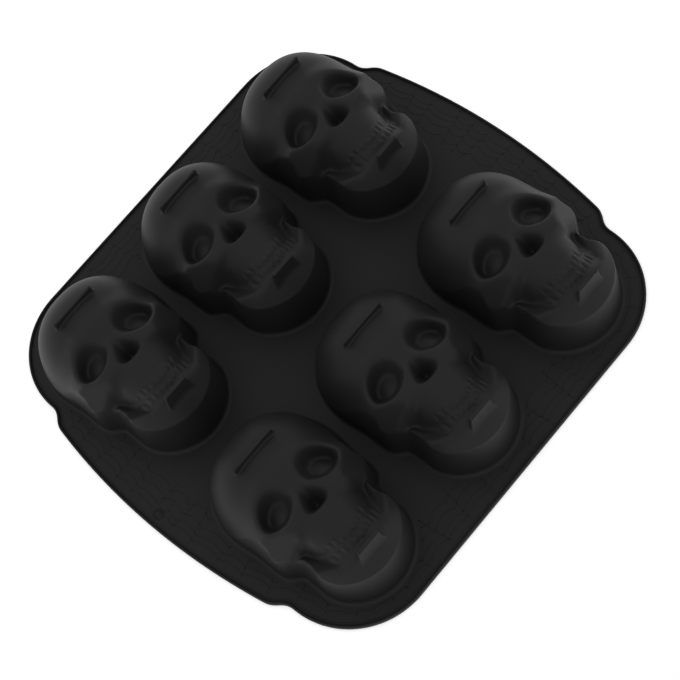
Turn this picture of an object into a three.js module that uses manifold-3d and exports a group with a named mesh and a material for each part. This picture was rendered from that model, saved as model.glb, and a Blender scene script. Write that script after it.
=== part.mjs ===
// Six-cup silicone skull cake mould, lying on its flange with the cups pointing up.
// X runs along a row of three cups, Y from the chins to the crowns, Z up from the flange's underside.
// Millimetres. Every size below can be changed by itself; the rest follows from it.
import * as THREE from 'three';
import { mergeVertices } from 'three/addons/utils/BufferGeometryUtils.js';
import Module from 'manifold-3d';

// Layout of the tray
const COLUMNS = 3;
const ROWS = 2;
const CUP_SPACING_X = 9.4;
const CUP_SPACING_Y = 15;
const SHEET = 2;
const WALL = 2.2;
const SEAM = 0.3;

// Flange outline: bowed sides, and a rounded lobe at each corner behind a small step
const SIDE_MARGIN = 22.2;
const BOW = 7.4;
const LOBE_MARGIN = 7.8;
const LOBE_RADIUS = 47;
const STEP_LENGTH = 15;
const END_MARGIN = 12.3;
const BEAD_WIDTH = 2.4;
const BEAD_HEIGHT = 3.2;

// Footprint of one skull
const CRANIUM_HALF_WIDTH = 37.8;
const CROWN_Y = 59.3;
const CRANIUM_WIDEST_Y = 22;
const TEMPLE_HALF_WIDTH = 36.2;
const TEMPLE_Y = 4;
const CHEEK_HALF_WIDTH = 35.8;
const CHEEK_Y = -10.5;
const JAW_HALF_WIDTH = 29.1;
const JAW_ANGLE_Y = -22;
const JAW_BEND_Y = -33;
const CHIN_Y = -59.7;
const CORNER_FULLNESS = 0.61;
const BASE_FILLET = 2.2;

// Brain case, heights above the flange. The brow is the skull's highest place.
const BROW_HEIGHT = 48.4;
const DOME_DROP = 1;
const DOME_CENTRE_Y = 16.7;
const DOME_OVERHANG = 3;
const DOME_BACK = 48;
const DOME_FRONT = 42;
const DOME_FOOT = -3.6;
const DOME_POWER = { across: 2.7, along: 2.5, up: 0.5 };
const DOME_SOFTNESS = 4;
const WALL_SLOPE = 22;
const WALL_TOP_INSET = 1.6;
const SOFTNESS = 3;
const CALM_DEPTH = 8;
const CALM_REACH = 5;

// Face: its level from the brow down to the chin, and how it falls to both sides
const NASION = { y: -1, reach: 8, dip: 1.2 };
const LIP = { from: -16, to: -33, drop: 1.6 };
const CHIN = { from: -33, to: -50, drop: 3.6 };
const FOREHEAD = { y: 16, fall: 0.9, softness: 6 };
const FACE_FALL = 15;
const FACE = { halfWidth: 32, power: 3 };
const MUZZLE = { halfWidth: 17, y: -36, spread: 0.35, power: 4.2 };
const CHEEK_START = { from: -23, to: -15 };

// Hollow under the cheekbone: its upper edge runs from x, y at a rising angle
const HOLLOW = { x: 22, y: -18.4, angle: 18, floor: 21, slope: 5, lead: 2, innerX: 21.5, innerSlope: 3.5 };

// Side wall: upright at the chin and the crown, a ledge at the temple, a slope along the jaw
const TEMPLE = { from: -13, to: -6, start: 30, end: 8, height: 13, slope: 5 };
const JAW_SIDE = { from: -15, to: -22, rise: 1.5, slope: 3.6, softness: 8 };
const JAW_ANGLE = { from: -28, to: -20, slope: 2 };
const CHIN_FRONT = { from: -36, to: -56, power: 1.5 };
const CHIN_WALL = { height: 31.5, bevel: 1.3, softness: 2 };

// Lower jaw, and the groove beside the teeth
const JAW = { back: 26, front: 39, from: -26, to: -50, band: 7.5, round: 0.1 };
const JAW_END = { from: -20.5, to: -17.5 };
const GROOVE = { x0: 23.4, y0: -19.3, x1: 16.6, y1: -33.8, width: 2, depth: 2.6, fade: 3 };

// Eye sockets: a shelf below, and a deeper channel above and outside it
const SOCKET = { x: 16.2, y: -0.8, rx: 11.2, ry: 10.2, tilt: -22, power: 2.4 };
const SOCKET_WALL = { depth: 5.8, from: 0.48, to: 1.14 };
const SOCKET_CHANNEL = { depth: 4.2, lift: 34, reach: 9.5, from: -0.35, to: 0.45 };
const SOCKET_SHELF = { rx: 8.6, ry: 7, shiftX: 1, shiftY: 2.4, from: 0.66, to: 1.12 };

// Nose opening
const NOSE_APEX_Y = -1.6;
const NOSE_BASE_Y = -18.4;
const NOSE_HALF_WIDTH = 8.3;
const NOSE_ROUND = 1.4;
const NOSE_DEPTH = 8.4;

// Feet that the mould stands on when it is filled; they rise above the brow
const FOOT_RISE = 1.6;
const FOOT_ROOT = 14;
const BROW_FOOT = { y: 27.9, halfLength: 13.4, thickness: 1.8, splay: 0.5 };
const CHIN_FOOT = { y: -50.3, halfLength: 7, thickness: 2.4, splay: 3 };

// Injection point on the left side strip
const GATE_MARGIN = 1.2;
const GATE_RADIUS = 3.8;
const GATE_GROOVE_DEPTH = 0.6;
const GATE_NUB_RADIUS = 1;
const GATE_NUB_HEIGHT = 0.7;

// Fineness of the surfaces
const OUTER_GRID = [16, 26];
const INNER_GRID = [10, 14];
const GRID_CROWDING = 1.15;
const POINTS_PER_FOOT_CORNER = 4;
const GATE_SIDES = 16;
const QUARTER_POINTS = [6, 5, 7];

const DEG = Math.PI / 180;
const footCorners = OUTER_GRID[0] + OUTER_GRID[1];
const outlinePoints = POINTS_PER_FOOT_CORNER * footCorners;
const footTop = SHEET + BROW_HEIGHT + FOOT_RISE;
const widest = Math.max(CRANIUM_HALF_WIDTH, TEMPLE_HALF_WIDTH, CHEEK_HALF_WIDTH, JAW_HALF_WIDTH);
const pitchX = 2 * widest + CUP_SPACING_X;
const pitchY = CROWN_Y - CHIN_Y + CUP_SPACING_Y;
const halfX = (COLUMNS - 1) / 2 * pitchX + widest + SIDE_MARGIN;
const halfY = (ROWS - 1) / 2 * pitchY + Math.max(CROWN_Y, -CHIN_Y) + END_MARGIN;

const clamp01 = (t) => Math.min(Math.max(t, 0), 1);

// Smooth change from 0 at a to 1 at b, with a above or below b
function ease(a, b, v) {
  const t = clamp01((v - a) / (b - a));
  return t * t * (3 - 2 * t);
}

// Round swelling: 1 where q is 0, 0 from q = 1 on
function swell(q) {
  const t = clamp01(1 - q * q);
  return t * t;
}

// The lower of two heights, rounded over a width k, and the higher
function softMin(a, b, k) {
  const h = Math.max(k - Math.abs(a - b), 0) / k;
  return Math.min(a, b) - h * h * k / 4;
}

function softMax(a, b, k) {
  return -softMin(-a, -b, k);
}

// Footprint of a skull: the right half from the chin to the crown, then its mirror image
function footprint() {
  const k = CORNER_FULLNESS;
  const chinDepth = JAW_BEND_Y - CHIN_Y;
  const crownDepth = CROWN_Y - CRANIUM_WIDEST_Y;
  const right = [
    [0, CHIN_Y],
    [k * JAW_HALF_WIDTH, CHIN_Y], [JAW_HALF_WIDTH, JAW_BEND_Y - k * chinDepth], [JAW_HALF_WIDTH, JAW_BEND_Y],
    [JAW_HALF_WIDTH, JAW_BEND_Y + 4], [JAW_HALF_WIDTH, JAW_ANGLE_Y - 4], [JAW_HALF_WIDTH, JAW_ANGLE_Y],
    [JAW_HALF_WIDTH, JAW_ANGLE_Y + 5], [CHEEK_HALF_WIDTH - 1, CHEEK_Y - 5.5], [CHEEK_HALF_WIDTH, CHEEK_Y],
    [CHEEK_HALF_WIDTH + 0.8, CHEEK_Y + 4.5], [TEMPLE_HALF_WIDTH, TEMPLE_Y - 4], [TEMPLE_HALF_WIDTH, TEMPLE_Y],
    [TEMPLE_HALF_WIDTH, TEMPLE_Y + 6], [CRANIUM_HALF_WIDTH, CRANIUM_WIDEST_Y - 8],
    [CRANIUM_HALF_WIDTH, CRANIUM_WIDEST_Y],
    [CRANIUM_HALF_WIDTH, CRANIUM_WIDEST_Y + k * crownDepth], [k * CRANIUM_HALF_WIDTH, CROWN_Y], [0, CROWN_Y],
  ];
  const left = right.slice(0, -1).reverse().map(([x, y]) => [-x, y]);
  const knots = [...right, ...left];
  const path = new THREE.Path();
  path.moveTo(...knots[0]);
  for (let i = 1; i < knots.length; i += 3) {
    path.bezierCurveTo(...knots[i], ...knots[i + 1], ...knots[i + 2]);
  }
  return path.getSpacedPoints(outlinePoints).slice(0, -1);
}

// Unit normals of a closed outline, pointing inwards; the outline runs counter-clockwise
function inwardNormals(points) {
  const n = points.length;
  return points.map((p, i) => {
    const along = points[(i + 1) % n].clone().sub(points[(i + n - 1) % n]);
    return new THREE.Vector2(-along.y, along.x).normalize();
  });
}

const skullOutline = footprint();
const skullCentre = new THREE.Vector2(0, NOSE_APEX_Y);

// Distance from a point to the footprint's edge, positive inside
function depthInside(x, y) {
  const n = skullOutline.length;
  let nearest = Infinity;
  let inside = false;
  for (let i = 0; i < n; i += 1) {
    const a = skullOutline[i];
    const b = skullOutline[(i + 1) % n];
    const dx = b.x - a.x;
    const dy = b.y - a.y;
    const t = clamp01(((x - a.x) * dx + (y - a.y) * dy) / (dx * dx + dy * dy));
    nearest = Math.min(nearest, Math.hypot(x - a.x - t * dx, y - a.y - t * dy));
    if ((a.y > y) !== (b.y > y) && x < a.x + (y - a.y) * dx / dy) {
      inside = !inside;
    }
  }
  return inside ? nearest : -nearest;
}

// Height of the brain case alone
function domeHeight(x, y) {
  const along = y > DOME_CENTRE_Y ? DOME_BACK : DOME_FRONT;
  const across = CRANIUM_HALF_WIDTH + DOME_OVERHANG;
  const q = (Math.abs(x) / across) ** DOME_POWER.across
    + (Math.abs(y - DOME_CENTRE_Y) / along) ** DOME_POWER.along;
  return DOME_FOOT + (BROW_HEIGHT - DOME_DROP - DOME_FOOT) * Math.max(1 - q, 0) ** DOME_POWER.up;
}

// Height of the face block: brow, bridge of the nose, cheeks and upper jaw
function faceHeight(x, y) {
  const ax = Math.abs(x);
  const level = BROW_HEIGHT - NASION.dip * swell((y - NASION.y) / NASION.reach)
    - LIP.drop * ease(LIP.from, LIP.to, y) - CHIN.drop * ease(CHIN.from, CHIN.to, y);
  const forehead = BROW_HEIGHT - FOREHEAD.fall * (y - FOREHEAD.y);
  const middle = softMin(level, forehead, FOREHEAD.softness);
  const cheek = ease(CHEEK_START.from, CHEEK_START.to, y);
  const muzzle = MUZZLE.halfWidth + MUZZLE.spread * Math.max(y - MUZZLE.y, 0);
  const halfWidth = muzzle + (FACE.halfWidth - muzzle) * cheek;
  const power = MUZZLE.power + (FACE.power - MUZZLE.power) * cheek;
  const past = (y - HOLLOW.y) * Math.cos(HOLLOW.angle * DEG) - (ax - HOLLOW.x) * Math.sin(HOLLOW.angle * DEG);
  const hollow = HOLLOW.floor + HOLLOW.slope * Math.max(past + HOLLOW.lead, 0)
    + HOLLOW.innerSlope * Math.max(HOLLOW.innerX - ax, 0);
  return softMin(middle - FACE_FALL * (ax / halfWidth) ** power, hollow, SOFTNESS);
}

// Height of the lower jaw's band, which rises from the jaw angle to the chin
function jawHeight(y, depth) {
  const crest = JAW.back + (JAW.front - JAW.back) * ease(JAW.from, JAW.to, y);
  return crest - JAW.round * Math.max(JAW.band - depth, 0) ** 2
    - BROW_HEIGHT * ease(JAW_END.from, JAW_END.to, y);
}

// Depth of the groove between the upper jaw and the lower one
function grooveDepth(x, y) {
  const start = new THREE.Vector2(GROOVE.x0, GROOVE.y0);
  const run = new THREE.Vector2(GROOVE.x1, GROOVE.y1).sub(start);
  const length = run.length();
  const from = new THREE.Vector2(Math.abs(x), y).sub(start);
  const along = from.dot(run) / length;
  const across = from.cross(run) / length;
  return GROOVE.depth * Math.exp(-((across / GROOVE.width) ** 2))
    * ease(-GROOVE.fade, GROOVE.fade, along) * ease(length + GROOVE.fade, length - GROOVE.fade, along);
}

// Depth of the eye sockets
function socketDepth(x, y) {
  const from = new THREE.Vector2(Math.abs(x) - SOCKET.x, y - SOCKET.y);
  const lean = (from.x * Math.sin(SOCKET_CHANNEL.lift * DEG) + from.y * Math.cos(SOCKET_CHANNEL.lift * DEG))
    / SOCKET_CHANNEL.reach;
  from.rotateAround(new THREE.Vector2(), -SOCKET.tilt * DEG);
  const power = SOCKET.power;
  const q = (Math.abs(from.x / SOCKET.rx) ** power + Math.abs(from.y / SOCKET.ry) ** power) ** (1 / power);
  const { rx, ry, shiftX, shiftY } = SOCKET_SHELF;
  const shelf = Math.hypot((from.x + shiftX) / rx, (from.y + shiftY) / ry);
  const channel = SOCKET_CHANNEL.depth * ease(SOCKET_SHELF.from, SOCKET_SHELF.to, shelf)
    * ease(SOCKET_CHANNEL.from, SOCKET_CHANNEL.to, lean);
  return (SOCKET_WALL.depth + channel) * (1 - ease(SOCKET_WALL.from, SOCKET_WALL.to, q));
}

// How far a point is inside the nose opening, 0 outside and 1 on its floor
function noseShare(x, y) {
  const tall = NOSE_APEX_Y - NOSE_BASE_Y;
  const across = Math.hypot(x, NOSE_ROUND);
  const flank = (across * tall + (y - NOSE_APEX_Y) * NOSE_HALF_WIDTH) / Math.hypot(tall, NOSE_HALF_WIDTH);
  return ease(NOSE_ROUND, -2 * NOSE_ROUND, softMax(flank, NOSE_BASE_Y - y, SOFTNESS));
}

// Height of the skull's relief above the flange, before the side wall is cut
function relief(x, y, depth) {
  const bevel = CHIN_WALL.height + CHIN_WALL.bevel * (depth - WALL_TOP_INSET);
  const face = softMin(softMax(faceHeight(x, y), jawHeight(y, depth), SOFTNESS), bevel, CHIN_WALL.softness);
  const z = softMax(domeHeight(x, y), face, DOME_SOFTNESS) - grooveDepth(x, y) - socketDepth(x, y);
  return z + (Math.min(BROW_HEIGHT - NOSE_DEPTH, z) - z) * noseShare(x, y);
}

// Height of the cup's outside above the flange, at a point that lies depth inside the footprint
function outerHeight(x, y, depth) {
  const steep = WALL_SLOPE * depth;
  const ledge = TEMPLE.height + TEMPLE.slope * (depth - TEMPLE.height / WALL_SLOPE);
  const temple = ease(TEMPLE.from, TEMPLE.to, y) * ease(TEMPLE.start, TEMPLE.end, y);
  const jaw = ease(JAW_SIDE.from, JAW_SIDE.to, y);
  const front = ease(CHIN_FRONT.from, CHIN_FRONT.to, y) ** CHIN_FRONT.power;
  const jawSlope = JAW_SIDE.slope + JAW_ANGLE.slope * ease(JAW_ANGLE.from, JAW_ANGLE.to, y);
  const slope = jawSlope + (WALL_SLOPE - jawSlope) * front;
  const upper = softMin(ledge, steep, SOFTNESS);
  const lower = Math.min(JAW_SIDE.rise + slope * depth, steep);
  const side = steep + (upper - steep) * temple + (lower - steep) * jaw;
  const softness = SOFTNESS + (JAW_SIDE.softness - SOFTNESS) * jaw * (1 - front);
  return Math.max(softMin(side, relief(x, y, depth), softness), 0);
}

// Lowest height that a function of x, y and depth takes on a ring of points round a place
function lowestAround(height, x, y, radius) {
  let lowest = Infinity;
  for (let turn = 0; turn < 360; turn += 45) {
    const px = x + radius * Math.cos(turn * DEG);
    const py = y + radius * Math.sin(turn * DEG);
    lowest = Math.min(lowest, height(px, py, depthInside(px, py)));
  }
  return lowest;
}

// Height of the cup's inside above the flange. A ball of the wall's radius rolls under the outside; away
// from the side wall, and under the cheek's hollow, details are also rounded off over a wider ring.
function innerHeight(x, y) {
  const depth = depthInside(x, y);
  let lowest = outerHeight(x, y, depth) - WALL;
  for (const share of [0.55, 0.9]) {
    lowest = Math.min(lowest, lowestAround(outerHeight, x, y, WALL * share) - WALL * Math.sqrt(1 - share * share));
  }
  const toHollow = Math.hypot(Math.abs(x) - HOLLOW.x - CALM_REACH, y - HOLLOW.y);
  const nearHollow = ease(CALM_DEPTH + CALM_REACH, CALM_DEPTH, toHollow);
  const calm = Math.max(ease(CALM_DEPTH, CALM_DEPTH + CALM_REACH, depth), nearHollow);
  for (const share of [0.5, 1]) {
    const rounded = Math.min(lowest, lowestAround(relief, x, y, CALM_REACH * share) - WALL);
    lowest += (rounded - lowest) * calm;
  }
  return Math.max(lowest, 0);
}

// Place on a closed outline, as a share of its length from its first point
function at(points, share) {
  const place = (share - Math.floor(share)) * points.length;
  const i = Math.floor(place) % points.length;
  return points[i].clone().lerp(points[(i + 1) % points.length], place - Math.floor(place));
}

// Share of the outline's length that a point of the square grid belongs to
function shareOfTurn(u, v, [nu, nv]) {
  const s = Math.max(Math.abs(u), Math.abs(v));
  const whole = 2 * (nu + nv);
  if (s === 0) {
    return 0;
  }
  if (v <= -s) {
    return (u / s) * nu / 2 / whole;
  }
  if (u >= s) {
    return (nu / 2 + (v / s + 1) / 2 * nv) / whole;
  }
  if (v >= s) {
    return (nu / 2 + nv + (1 - u / s) / 2 * nu) / whole;
  }
  return (nu / 2 + nv + nu + (1 - v / s) / 2 * nv) / whole;
}

// A closed outline moved inwards, or outwards where the distance is below 0
function inset(points, distance) {
  const normals = inwardNormals(points);
  return points.map((p, i) => p.clone().addScaledVector(normals[i], distance));
}

// Splits each cell of a block's top along the diagonal that lies nearer to the relief
function foldCells(geometry, lift) {
  const { index, groups, attributes: { position } } = geometry;
  const bend = (p, q) => {
    const x = (position.getX(p) + position.getX(q)) / 2;
    const y = (position.getY(p) + position.getY(q)) / 2;
    return Math.abs(lift(x, y) - (position.getZ(p) + position.getZ(q)) / 2);
  };
  const top = groups[4];
  for (let i = top.start; i < top.start + top.count; i += 6) {
    const [a, b, d, , c] = index.array.slice(i, i + 5);
    if (bend(a, c) < bend(b, d)) {
      index.array.set([a, b, c, a, c, d], i);
    }
  }
}

// A block with a fine grid on top, bent to a skull's outline. Its side wall goes up through the rows,
// each a closed loop of points with its height; the top is lifted to lift(x, y).
function reliefBlock(grid, rows, lift) {
  const topRow = rows.length - 1;
  const geometry = new THREE.BoxGeometry(2, 2, topRow, grid[0], grid[1], topRow);
  const position = geometry.attributes.position;
  for (let i = 0; i < position.count; i += 1) {
    const u = position.getX(i);
    const v = position.getY(i);
    const row = Math.round(position.getZ(i) + topRow / 2);
    const edge = at(rows[row].loop, shareOfTurn(u, v, grid));
    const reach = Math.max(Math.abs(u), Math.abs(v)) ** GRID_CROWDING;
    const point = edge.sub(skullCentre).multiplyScalar(reach).add(skullCentre);
    const z = row === topRow ? lift(point.x, point.y) : rows[row].height;
    position.setXYZ(i, point.x, point.y, z);
  }
  foldCells(geometry, lift);
  return geometry;
}

const wasm = await Module();
wasm.setup();

// A closed geometry as a solid that can be cut, and back
function toSolid(geometry) {
  const bare = geometry.clone();
  bare.deleteAttribute('normal');
  bare.deleteAttribute('uv');
  const merged = mergeVertices(bare, 1e-5);
  return new wasm.Manifold(new wasm.Mesh({
    numProp: 3,
    vertProperties: new Float32Array(merged.attributes.position.array),
    triVerts: new Uint32Array(merged.index.array),
  }));
}

function toGeometry(solid) {
  const mesh = solid.getMesh();
  const geometry = new THREE.BufferGeometry();
  geometry.setAttribute('position', new THREE.BufferAttribute(mesh.vertProperties, 3));
  geometry.setIndex(new THREE.BufferAttribute(mesh.triVerts, 1));
  geometry.computeVertexNormals();
  return geometry;
}

// The foot of a cup, where its fillet runs out on the flange, drawn with half of the grid's corners
const footLoop = inset(skullOutline, -BASE_FILLET).filter((p, i) => i % POINTS_PER_FOOT_CORNER === 0);

// The outside of a cup, from the underside of the flange to the crown
const outerBlock = reliefBlock(
  OUTER_GRID,
  [
    { loop: footLoop, height: 0 },
    { loop: footLoop, height: SHEET },
    { loop: inset(skullOutline, BASE_FILLET / WALL_SLOPE), height: SHEET + BASE_FILLET },
    { loop: inset(skullOutline, WALL_TOP_INSET) },
  ],
  (x, y) => SHEET + outerHeight(x, y, depthInside(x, y)),
);

// The hollow that the cake fills, running out below the flange so that it cuts through
const hollowBlock = reliefBlock(
  INNER_GRID,
  [
    { loop: inset(skullOutline, WALL), height: -SHEET },
    { loop: inset(skullOutline, WALL + WALL_TOP_INSET) },
  ],
  (x, y) => SHEET + innerHeight(x, y),
);

const outerSolid = toSolid(outerBlock);
const cupSolid = outerSolid.subtract(toSolid(hollowBlock));

// A foot: an upright rib with its top level with the highest point, its underside laid on the cup
function footSolid({ y, halfLength, thickness, splay }) {
  const outline = new THREE.Shape();
  const low = footTop - FOOT_ROOT;
  outline.moveTo(-halfLength - splay, low);
  outline.lineTo(halfLength + splay, low);
  outline.lineTo(halfLength, footTop);
  outline.lineTo(-halfLength, footTop);
  const rib = new THREE.ExtrudeGeometry(outline, { depth: thickness, bevelEnabled: false });
  rib.rotateX(90 * DEG);
  rib.translate(0, y + thickness / 2, 0);
  return toSolid(rib).subtract(outerSolid.translate([0, 0, SEAM]));
}

// Outline of the whole mould, one quarter from the side's middle to the end's middle, then its mirrors
function trayQuarter() {
  const lobeSide = halfX - SIDE_MARGIN + LOBE_MARGIN;
  const lobeY = halfY - LOBE_RADIUS;
  const stepY = lobeY - STEP_LENGTH;
  const middleY = lobeY - STEP_LENGTH / 2;
  const reach = 0.5523 * LOBE_RADIUS;
  const lobeX = lobeSide - LOBE_RADIUS;
  const path = new THREE.Path();
  path.moveTo(halfX, 0);
  path.quadraticCurveTo(halfX, stepY / 2, halfX - BOW, stepY);
  path.bezierCurveTo(halfX - BOW - 1.4, middleY, lobeSide, middleY, lobeSide, lobeY);
  path.bezierCurveTo(lobeSide, lobeY + reach, lobeX + reach, halfY, lobeX, halfY);
  return path.curves.flatMap((curve, i) => curve.getPoints(QUARTER_POINTS[i]).slice(i === 0 ? 0 : 1));
}

function trayOutline() {
  const quarter = trayQuarter();
  const half = [...quarter, ...quarter.map((p) => new THREE.Vector2(-p.x, p.y)).reverse()];
  return [...half, ...half.slice(1, -1).map((p) => new THREE.Vector2(p.x, -p.y)).reverse()];
}

// A closed band that follows an outline, with a section given as [distance inside, height] points
function bandGeometry(outline, section) {
  const loops = section.map(([distance]) => inset(outline, distance));
  const n = outline.length;
  const m = section.length;
  const vertices = [];
  const indices = [];
  for (let i = 0; i < n; i += 1) {
    for (let j = 0; j < m; j += 1) {
      vertices.push(loops[j][i].x, loops[j][i].y, section[j][1]);
      const a = i * m + j;
      const b = i * m + (j + 1) % m;
      const c = ((i + 1) % n) * m + j;
      const d = ((i + 1) % n) * m + (j + 1) % m;
      indices.push(a, c, b, b, c, d);
    }
  }
  const geometry = new THREE.BufferGeometry();
  geometry.setAttribute('position', new THREE.Float32BufferAttribute(vertices, 3));
  geometry.setIndex(indices);
  geometry.computeVertexNormals();
  return geometry;
}

// Centres of the cups
const cells = [];
for (let row = 0; row < ROWS; row += 1) {
  for (let column = 0; column < COLUMNS; column += 1) {
    const x = (column - (COLUMNS - 1) / 2) * pitchX;
    const y = ((ROWS - 1) / 2 - row) * pitchY - (CROWN_Y + CHIN_Y) / 2;
    cells.push(new THREE.Vector2(x, y));
  }
}

const gateX = -halfX + BEAD_WIDTH + SEAM + GATE_MARGIN + GATE_RADIUS;

// Window in the flange round a cup's foot, one seam wider than the foot
function cupWindow(centre) {
  return new THREE.Path(inset(footLoop, -SEAM).map((p) => p.add(centre)));
}

function flangeGeometry() {
  const shape = new THREE.Shape(inset(trayOutline(), BEAD_WIDTH + SEAM));
  shape.holes = cells.map(cupWindow);
  const gate = new THREE.EllipseCurve(gateX, 0, GATE_RADIUS + SEAM, GATE_RADIUS + SEAM);
  shape.holes.push(new THREE.Path(gate.getPoints(GATE_SIDES).slice(0, -1)));
  return new THREE.ExtrudeGeometry(shape, { depth: SHEET, bevelEnabled: false });
}

// Rounded bead along the edge, flat underneath
const beadGeometry = bandGeometry(trayOutline(), [
  [0, 0],
  [0, BEAD_HEIGHT * 0.6],
  [BEAD_WIDTH * 0.25, BEAD_HEIGHT],
  [BEAD_WIDTH * 0.65, BEAD_HEIGHT],
  [BEAD_WIDTH, SHEET],
  [BEAD_WIDTH, 0],
]);

// Injection mark: a disc with a ring groove and a small nub in its middle
function gateGeometry() {
  const r = GATE_RADIUS;
  const profile = [
    [0, 0], [r, 0], [r, SHEET], [r * 0.88, SHEET], [r * 0.76, SHEET - GATE_GROOVE_DEPTH],
    [r * 0.6, SHEET - GATE_GROOVE_DEPTH], [r * 0.5, SHEET], [GATE_NUB_RADIUS, SHEET],
    [GATE_NUB_RADIUS * 0.8, SHEET + GATE_NUB_HEIGHT], [0, SHEET + GATE_NUB_HEIGHT],
  ];
  const lathe = new THREE.LatheGeometry(profile.map(([x, y]) => new THREE.Vector2(x, y)), GATE_SIDES);
  lathe.rotateX(90 * DEG);
  return lathe;
}

function silicone() {
  return new THREE.MeshStandardMaterial({ color: 0x202123, roughness: 0.45, metalness: 0 });
}

const mould = new THREE.Group();

function addPiece(name, geometry, x = 0, y = 0) {
  const mesh = new THREE.Mesh(geometry, silicone());
  mesh.name = name;
  mesh.position.set(x, y, 0);
  mould.add(mesh);
}

addPiece('flange', flangeGeometry());
addPiece('rim_bead', beadGeometry);
addPiece('gate_mark', gateGeometry(), gateX, 0);

const cupGeometry = toGeometry(cupSolid);
const browFootGeometry = toGeometry(footSolid(BROW_FOOT));
const chinFootGeometry = toGeometry(footSolid(CHIN_FOOT));
cells.forEach(({ x, y }, i) => {
  addPiece(`skull_cup_${i + 1}`, cupGeometry, x, y);
  addPiece(`brow_foot_${i + 1}`, browFootGeometry, x, y);
  addPiece(`chin_foot_${i + 1}`, chinFootGeometry, x, y);
});

export default mould;
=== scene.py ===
"""Looks of a silicone cake mould with six skull-shaped cups, lying cups up on pale paper.

X runs along a row of three cups, Y from the chins to the crowns, Z up from the underside.
Sizes are in millimetres until a mesh is made, and meshes are in metres. A skull's own places are
measured from its middle, and the heights of its relief from the top of the sheet.
"""

import logging
import math
from dataclasses import dataclass, field
from enum import Enum
from typing import Any

import bpy
import numpy as np
from mathutils import Matrix, Vector
from mathutils.geometry import delaunay_2d_cdt

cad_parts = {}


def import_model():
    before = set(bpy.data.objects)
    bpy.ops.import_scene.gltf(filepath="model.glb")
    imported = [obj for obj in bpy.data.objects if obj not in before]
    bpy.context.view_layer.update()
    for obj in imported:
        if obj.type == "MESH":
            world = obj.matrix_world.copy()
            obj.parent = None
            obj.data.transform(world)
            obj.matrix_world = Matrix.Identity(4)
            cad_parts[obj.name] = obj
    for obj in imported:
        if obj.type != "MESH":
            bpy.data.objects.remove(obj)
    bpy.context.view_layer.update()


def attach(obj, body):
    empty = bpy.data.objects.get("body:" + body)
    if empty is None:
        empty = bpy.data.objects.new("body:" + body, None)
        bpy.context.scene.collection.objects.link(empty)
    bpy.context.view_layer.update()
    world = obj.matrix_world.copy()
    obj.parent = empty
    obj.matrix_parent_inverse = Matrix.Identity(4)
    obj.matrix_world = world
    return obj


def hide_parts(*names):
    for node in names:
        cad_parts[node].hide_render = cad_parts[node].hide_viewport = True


log = logging.getLogger("skull_mould")

Faces = list[tuple[int, ...]]

MM = 0.001
# thickness of the flat sheet
SHEET = 2.0
# level of the ribs' top edges, which the turned-over mould stands on
STAND = 52.0
PHOTO_PIXELS = 680
# handle length of a cubic curve that draws a quarter of a circle of radius 1
QUARTER_ARC = 0.5523


def linear(code: str) -> tuple[float, float, float, float]:
    """Turns an sRGB hex colour into linear values.

    Args:
        code: Six hex digits behind a hash sign.

    Returns:
        Red, green, blue and an alpha of 1.
    """
    shares = [int(code[i : i + 2], 16) / 255 for i in (1, 3, 5)]
    values = [s / 12.92 if s <= 0.04045 else ((s + 0.055) / 1.055) ** 2.4 for s in shares]
    return (values[0], values[1], values[2], 1.0)


def add_node(
    tree: bpy.types.NodeTree,
    kind: str,
    settings: dict[Any, Any] | None = None,
    links: dict[Any, Any] | None = None,
) -> bpy.types.Node:
    """Adds a shader node.

    Args:
        tree: The material's or the world's node tree.
        kind: The node's type.
        settings: Attributes by name; a name or number of an input socket sets that socket's value.
        links: Output sockets by the name or number of the input that each one feeds.

    Returns:
        The new node.
    """
    node = tree.nodes.new(kind)
    for key, value in (settings or {}).items():
        if isinstance(key, str) and hasattr(node, key):
            setattr(node, key, value)
        else:
            node.inputs[key].default_value = value
    for key, socket in (links or {}).items():
        tree.links.new(socket, node.inputs[key])
    return node


@dataclass(frozen=True)
class Ramp:
    """Smooth change from nothing at its start to its full size at its end, which may lie below the start."""

    start: float
    end: float
    size: float = 1.0

    def at(self, value: np.ndarray) -> np.ndarray:
        """Gives how much of the change each value has reached."""
        t = np.clip((value - self.start) / (self.end - self.start), 0, 1)
        return self.size * (t * t * (3 - 2 * t))


def swell(q: np.ndarray) -> np.ndarray:
    """Gives a round swelling: 1 where q is 0, and 0 from q = 1 on."""
    return np.clip(1 - q * q, 0, 1) ** 2


def soft_min(a: np.ndarray, b: np.ndarray, width: float | np.ndarray) -> np.ndarray:
    """Gives the lower of two heights, rounded over a width."""
    h = np.maximum(width - np.abs(a - b), 0) / width
    return np.minimum(a, b) - h * h * width / 4


def soft_max(a: np.ndarray, b: np.ndarray, width: float | np.ndarray) -> np.ndarray:
    """Gives the higher of two heights, rounded over a width."""
    return -soft_min(-a, -b, width)


def bezier(corners: list[tuple[float, float]], steps: int) -> np.ndarray:
    """Draws one cubic curve.

    Args:
        corners: Its four control points.
        steps: Number of pieces that it is cut into.

    Returns:
        Its points without the first.
    """
    t = np.linspace(0, 1, steps + 1)[1:, None]
    a, b, c, d = (np.array(p, float) for p in corners)
    return (1 - t) ** 3 * a + 3 * (1 - t) ** 2 * t * b + 3 * (1 - t) * t * t * c + t**3 * d


def even_points(loop: np.ndarray, count: int) -> np.ndarray:
    """Spaces points evenly along a closed loop.

    Args:
        loop: The loop's corners.
        count: Number of points.

    Returns:
        The points, from the loop's first corner on.
    """
    closed = np.vstack([loop, loop[:1]])
    run = np.concatenate([[0], np.cumsum(np.linalg.norm(np.diff(closed, axis=0), axis=1))])
    stations = np.linspace(0, run[-1], count, endpoint=False)
    return np.stack([np.interp(stations, run, closed[:, i]) for i in (0, 1)], -1)


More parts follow.
